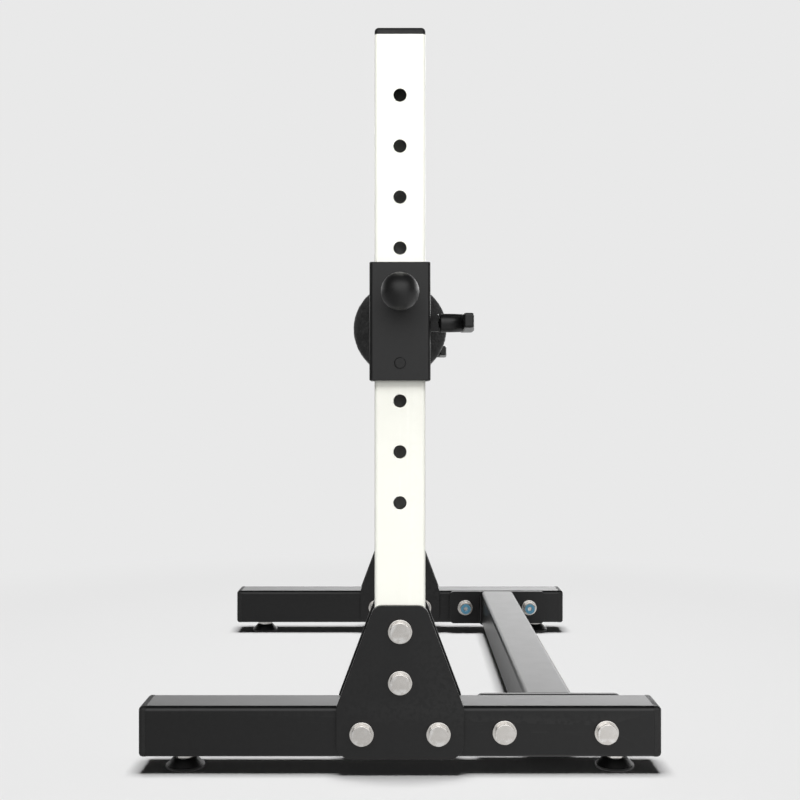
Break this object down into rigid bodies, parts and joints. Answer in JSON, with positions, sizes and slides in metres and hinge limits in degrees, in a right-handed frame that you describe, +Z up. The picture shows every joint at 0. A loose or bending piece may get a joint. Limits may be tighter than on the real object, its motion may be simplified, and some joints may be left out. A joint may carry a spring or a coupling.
{
  "type": "single leg squat stand",
  "caption": "Free-standing squat stand: two uprights on foot tubes joined by a crossbeam, with a height-adjustable padded roller for the rear foot.",
  "frame": {"origin": "on the floor, midway between the two uprights", "axes": "+Z up; +Y from the left upright to the right upright, along the roller; +X from the uprights towards the crossbeam, the front"},
  "size_m": [0.514, 0.949, 0.733],
  "materials": {
    "black_coat": "satin black powder coat",
    "white_coat": "satin white powder coat",
    "black_plastic": "moulded black plastic",
    "zinc": "zinc plated steel",
    "bright_steel": "turned bright steel",
    "blue_nylon": "blue nylon",
    "foam": "textured closed-cell foam",
    "aluminium_tube": "drawn tube",
    "knob_plastic": "polished black plastic"
  },
  "bodies": {
    "frame": {"left_foot_tube": "black_coat", "right_foot_tube": "black_coat", "left_upright": "white_coat", "right_upright": "white_coat", "left_outer_gusset": "black_coat", "left_inner_gusset": "black_coat", "right_outer_gusset": "black_coat", "right_inner_gusset": "black_coat", "crossbeam": "black_coat", "left_flange": "black_coat", "right_flange": "black_coat", "left_foot_caps": "black_plastic", "right_foot_caps": "black_plastic", "left_upright_cap": "black_plastic", "right_upright_cap": "black_plastic", "gusset_bolts": "zinc", "flange_bolts": "zinc", "washers": "zinc", "lock_nuts": "zinc", "nut_rings": "blue_nylon", "foot_jam_nuts": "zinc", "foot_inserts": "zinc"},
    "carriage": {"left_sleeve": "black_coat", "right_sleeve": "black_coat", "left_liner": "black_plastic", "right_liner": "black_plastic", "left_liner_plug": "black_plastic", "right_liner_plug": "black_plastic", "left_pin_housing": "black_coat", "right_pin_housing": "black_coat", "left_pin_spring": "bright_steel", "right_pin_spring": "bright_steel", "left_clamp_nut": "black_coat", "right_clamp_nut": "black_coat", "left_axle_boss": "black_coat", "right_axle_boss": "black_coat", "axle": "bright_steel", "axle_collars": "black_coat", "set_screws": "zinc"},
    "roller": {"foam_roller": "foam", "roller_core": "aluminium_tube", "roller_bushes": "black_plastic"},
    "left_pull_pin": {"left_plunger": "bright_steel", "left_ball_knob": "knob_plastic"},
    "right_pull_pin": {"right_plunger": "bright_steel", "right_ball_knob": "knob_plastic"},
    "left_clamp": {"left_clamp_screw": "black_coat", "left_tee_handle": "black_coat"},
    "right_clamp": {"right_clamp_screw": "black_coat", "right_tee_handle": "black_coat"},
    "left_front_foot": {"left_front_pad": "black_plastic", "left_front_stud": "zinc"},
    "left_rear_foot": {"left_rear_pad": "black_plastic", "left_rear_stud": "zinc"},
    "right_front_foot": {"right_front_pad": "black_plastic", "right_front_stud": "zinc"},
    "right_rear_foot": {"right_rear_pad": "black_plastic", "right_rear_stud": "zinc"}
  },
  "joints": [
    {"name": "carriage_slide", "type": "slide", "parent": "frame", "child": "carriage", "axis": [0, 0, 1], "range_m": [-0.2, 0.2]},
    {"name": "roller_spin", "type": "hinge", "parent": "carriage", "child": "roller", "pos_m": [0, 0, 0.444], "axis": [0, 1, 0], "continuous": true},
    {"name": "left_pin_pull", "type": "slide", "parent": "carriage", "child": "left_pull_pin", "axis": [0, -1, 0], "range_m": [-0.012, 0]},
    {"name": "right_pin_pull", "type": "slide", "parent": "carriage", "child": "right_pull_pin", "axis": [0, 1, 0], "range_m": [-0.012, 0]},
    {"name": "left_clamp_turn", "type": "hinge", "parent": "carriage", "child": "left_clamp", "pos_m": [0.045, -0.35, 0.444], "axis": [1, 0, 0], "range_deg": [0, 180]},
    {"name": "right_clamp_turn", "type": "hinge", "parent": "carriage", "child": "right_clamp", "pos_m": [0.045, 0.35, 0.444], "axis": [1, 0, 0], "range_deg": [0, 180]},
    {"name": "left_front_foot_screw", "type": "slide", "parent": "frame", "child": "left_front_foot", "axis": [0, 0, -1], "range_m": [0, 0.008]},
    {"name": "left_rear_foot_screw", "type": "slide", "parent": "frame", "child": "left_rear_foot", "axis": [0, 0, -1], "range_m": [0, 0.008]},
    {"name": "right_front_foot_screw", "type": "slide", "parent": "frame", "child": "right_front_foot", "axis": [0, 0, -1], "range_m": [0, 0.008]},
    {"name": "right_rear_foot_screw", "type": "slide", "parent": "frame", "child": "right_rear_foot", "axis": [0, 0, -1], "range_m": [0, 0.008]}
  ]
}
